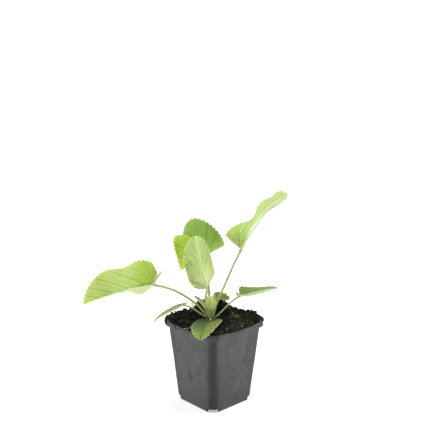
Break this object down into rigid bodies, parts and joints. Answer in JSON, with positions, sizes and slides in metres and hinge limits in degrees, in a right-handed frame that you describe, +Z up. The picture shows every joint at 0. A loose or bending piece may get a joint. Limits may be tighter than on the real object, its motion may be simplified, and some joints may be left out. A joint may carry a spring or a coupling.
{
  "type": "potted turkish sage",
  "caption": "Young turkish sage with soft heart-shaped leaves on long stalks, growing from peat heaped in a square tapered nursery pot with an outward lip.",
  "frame": {"origin": "middle of the pot's foot, where it stands", "axes": "+Z up; X and Y run square to the pot's flat walls; the picture looks from the corner between -X and -Y"},
  "size_m": [0.199, 0.1542, 0.2505],
  "materials": {
    "pot_plastic": "satin",
    "peat": "matte",
    "leaf_green": "matte",
    "young_leaf_green": "matte",
    "crown_tissue": "matte",
    "moss": "matte",
    "twig_bark": "matte"
  },
  "bodies": {
    "root": {"pot": "pot_plastic", "potting_soil": "peat", "crown": "crown_tissue", "leaf_left_large": "leaf_green", "leaf_back": "leaf_green", "leaf_front_upright": "leaf_green", "leaf_right_tall": "leaf_green", "leaf_right_low": "leaf_green", "leaf_left_small": "leaf_green", "leaf_front_rim": "leaf_green", "leaf_back_small": "leaf_green", "young_leaf_center": "young_leaf_green", "young_leaf_left": "young_leaf_green", "young_leaf_curled": "young_leaf_green", "moss_patch": "moss", "twig": "twig_bark"}
  },
  "joints": []
}
